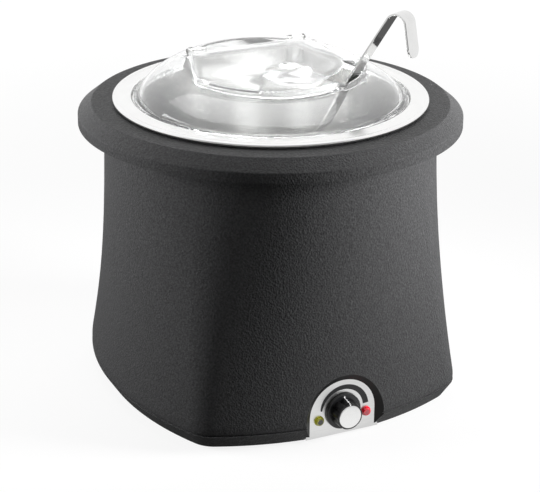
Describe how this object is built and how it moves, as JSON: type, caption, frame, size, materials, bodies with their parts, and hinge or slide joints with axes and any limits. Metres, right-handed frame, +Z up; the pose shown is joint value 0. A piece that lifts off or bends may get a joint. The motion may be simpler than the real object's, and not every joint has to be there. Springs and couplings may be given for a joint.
{
  "type": "soup kettle",
  "caption": "Table-top wet-heat soup kettle: flared black body, overhanging collar, lift-out steel pot, clear lid with hinged hatch, ladle, thermostat knob and lamps.",
  "frame": {"origin": "on the floor under the centre of the pot", "axes": "+Z up, the control panel and its knob face -Y, +X to the right of a person facing the panel"},
  "size_m": [0.35, 0.35, 0.3655],
  "materials": {
    "shell_plastic": "fine pebble grain, satin black",
    "base_plastic": "plain black moulding",
    "pot_steel": "satin spun stainless steel with a bright rim",
    "well_steel": "drawn stainless steel",
    "panel_steel": "brushed plate with a plain printed dial wedge",
    "seal_rubber": "grey silicone",
    "foot_rubber": "black rubber",
    "fastener_steel": "zinc plated",
    "thermostat_case": "dark phenolic moulding",
    "spindle_brass": "turned",
    "bulb_brass": "copper coloured tube",
    "knob_plastic": "satin black with a white pointer",
    "knob_aluminium": "spun face",
    "lamp_red": "clear red lens",
    "lamp_yellow": "clear yellow-green lens",
    "heater_sheath": "dull sheath",
    "plate_aluminium": "mill finish",
    "gland_nylon": "black nylon",
    "terminal_nylon": "natural nylon",
    "lid_clear": "clear moulded polycarbonate",
    "ladle_steel": "polished stainless steel"
  },
  "bodies": {
    "kettle_body": {"outer_shell": "shell_plastic", "top_collar": "shell_plastic", "water_well": "well_steel", "well_seal": "seal_rubber", "base_cover": "base_plastic", "feet": "foot_rubber", "standoffs": "fastener_steel", "base_screws": "fastener_steel", "control_panel": "panel_steel", "panel_screws": "fastener_steel", "thermostat_body": "thermostat_case", "thermostat_nut": "fastener_steel", "power_lamp": "lamp_red", "heating_lamp": "lamp_yellow", "lamp_clips": "fastener_steel", "heating_element": "heater_sheath", "element_plate": "plate_aluminium", "plate_studs": "fastener_steel", "plate_nuts": "fastener_steel", "thermal_cutout": "thermostat_case", "sensor_bulb": "bulb_brass", "bulb_clip": "fastener_steel", "cord_gland": "gland_nylon", "gland_nut": "gland_nylon", "terminal_block": "terminal_nylon"},
    "knob": {"control_knob": "knob_plastic", "knob_cap": "knob_aluminium", "thermostat_spindle": "spindle_brass"},
    "pot": {"soup_pot": "pot_steel"},
    "lid": {"lid_dome": "lid_clear", "hinge_pins": "fastener_steel"},
    "flap": {"lid_flap": "lid_clear"},
    "ladle": {"ladle_handle": "ladle_steel", "ladle_bowl": "ladle_steel"}
  },
  "joints": [
    {"name": "knob_turn", "type": "hinge", "parent": "kettle_body", "child": "knob", "pos_m": [0, -0.151, 0.0256], "axis": [0, -1, 0], "range_deg": [-110, 110]},
    {"name": "pot_lift", "type": "slide", "parent": "kettle_body", "child": "pot", "axis": [0, 0, 1], "range_m": [0, 0.22]},
    {"name": "lid_lift", "type": "slide", "parent": "pot", "child": "lid", "axis": [0, 0, 1], "range_m": [0, 0.22]},
    {"name": "flap_hinge", "type": "hinge", "parent": "lid", "child": "flap", "pos_m": [0, 0.05146, 0.31027], "axis": [-1, 0, 0], "range_deg": [0, 105]},
    {"name": "ladle_slide", "type": "slide", "parent": "lid", "child": "ladle", "axis": [0.3204, -0.3956, 0.8607], "range_m": [0, 0.1]}
  ]
}
